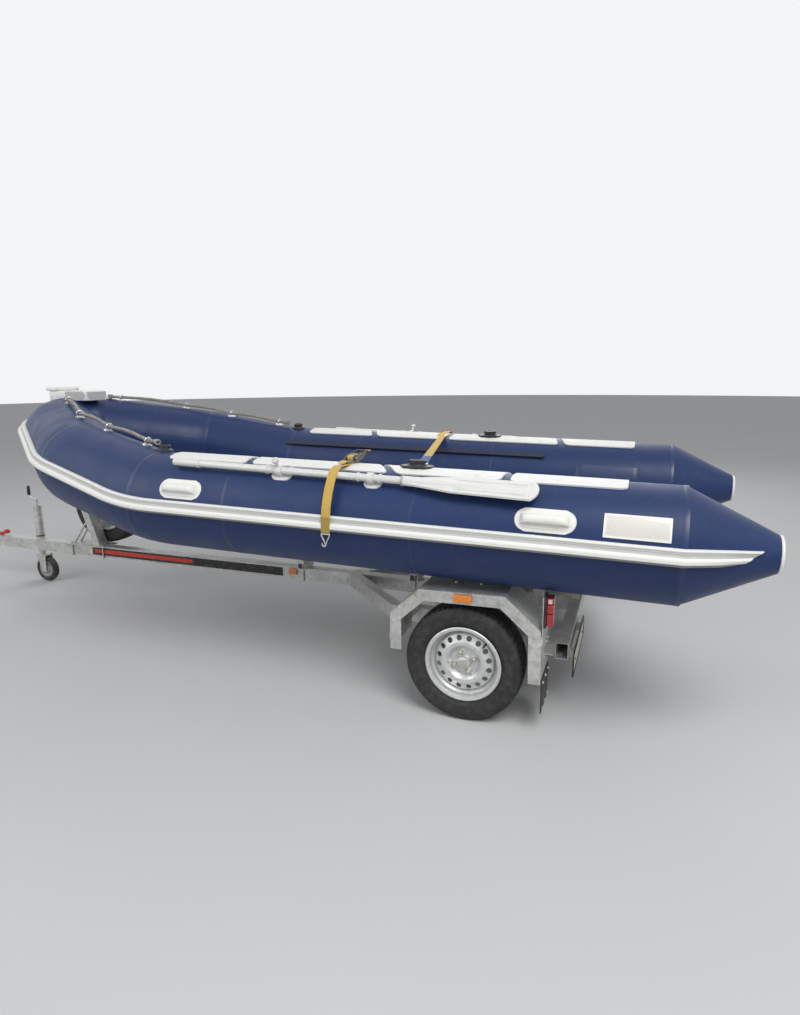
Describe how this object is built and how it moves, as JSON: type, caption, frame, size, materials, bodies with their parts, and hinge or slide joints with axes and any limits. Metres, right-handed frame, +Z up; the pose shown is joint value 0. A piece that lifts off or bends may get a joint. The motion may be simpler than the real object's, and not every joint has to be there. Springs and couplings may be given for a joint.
{
  "type": "rigid inflatable boat on a road trailer",
  "caption": "Rigid inflatable boat with a V hull, strapped on a galvanised single-axle drawbar trailer with jockey wheel and spare wheel.",
  "frame": {"origin": "on the ground under the middle of the overall length, on the centreline", "axes": "+X towards the boat's stern, +Y towards its starboard side, +Z up"},
  "size_m": [5.5374, 2.1388, 1.5306],
  "materials": {
    "tube_fabric": "coated navy fabric, satin",
    "white_rubber": "white rubber, satin",
    "dark_rubber": "black rubber, matte",
    "dark_plastic": "moulded",
    "label_plate": "smooth, blank",
    "rope_fibre": "braided",
    "hull_gelcoat": "gloss",
    "deck_gelcoat": "satin gloss",
    "oar_alloy": "satin",
    "grey_plastic": "moulded",
    "webbing": "woven",
    "zinc_steel": "zinc plated",
    "galvanised": "hot-dip galvanised",
    "tyre_rubber": "matte",
    "rim_steel": "silver paint",
    "red_lens": "clear gloss",
    "orange_lens": "clear gloss",
    "board_face": "smooth, blank",
    "stainless": "polished",
    "bunk_wood": "sawn, weathered"
  },
  "bodies": {
    "boat_on_trailer": {"tube_starboard": "tube_fabric", "tube_port": "tube_fabric", "tube_bow": "tube_fabric", "cone_caps": "white_rubber", "rub_strake": "white_rubber", "top_pads": "white_rubber", "seat_rails": "dark_rubber", "carry_handles": "white_rubber", "valves": "dark_plastic", "blank_plate": "label_plate", "rope_rings": "white_rubber", "grab_rope_starboard": "rope_fibre", "grab_rope_port": "rope_fibre", "hull": "hull_gelcoat", "deck": "deck_gelcoat", "transom": "deck_gelcoat", "bow_locker": "deck_gelcoat", "oar_shafts": "oar_alloy", "oar_blades": "grey_plastic", "oar_fittings": "grey_plastic", "tie_down_strap": "webbing", "strap_ratchet": "zinc_steel", "cross_strap": "webbing", "main_beam": "galvanised", "frame_rails": "galvanised", "torsion_axle": "galvanised", "spare_tyre": "tyre_rubber", "spare_rim": "rim_steel", "fenders": "galvanised", "mud_flaps": "dark_rubber", "rear_lamps": "red_lens", "side_markers": "orange_lens", "number_board": "board_face", "clamp_bolts": "zinc_steel", "winch_post": "galvanised", "bow_stop": "dark_rubber", "winch": "galvanised", "tow_eyes": "stainless", "keel_rollers": "dark_rubber", "bunks": "bunk_wood", "cradle_brackets": "galvanised", "jack_tube": "galvanised", "coupling": "galvanised"},
    "wheel_left": {"tyre_left": "tyre_rubber", "rim_left": "rim_steel"},
    "wheel_right": {"tyre_right": "tyre_rubber", "rim_right": "rim_steel"},
    "jack_slider": {"jack_leg": "zinc_steel"},
    "jack_swivel": {"jack_fork": "galvanised"},
    "jockey": {"jockey_wheel": "dark_rubber"},
    "lid": {"locker_lid": "deck_gelcoat"}
  },
  "joints": [
    {"name": "wheel_left_spin", "type": "hinge", "parent": "boat_on_trailer", "child": "wheel_left", "pos_m": [1.50632, -0.8275, 0.2805], "axis": [0, 1, 0], "continuous": true},
    {"name": "wheel_right_spin", "type": "hinge", "parent": "boat_on_trailer", "child": "wheel_right", "pos_m": [1.50632, 0.8275, 0.2805], "axis": [0, 1, 0], "continuous": true},
    {"name": "jack_slide", "type": "slide", "parent": "boat_on_trailer", "child": "jack_slider", "axis": [0, 0, 1], "range_m": [0, 0.058]},
    {"name": "jack_swivel", "type": "hinge", "parent": "jack_slider", "child": "jack_swivel", "pos_m": [-2.21368, 0.075, 0.21], "axis": [0, 0, 1], "continuous": true},
    {"name": "jockey_spin", "type": "hinge", "parent": "jack_swivel", "child": "jockey", "pos_m": [-2.17768, 0.075, 0.1], "axis": [0, 1, 0], "continuous": true},
    {"name": "lid_hinge", "type": "hinge", "parent": "boat_on_trailer", "child": "lid", "pos_m": [-1.77368, 0, 1.5056], "axis": [0, -1, 0], "range_deg": [0, 100]}
  ]
}
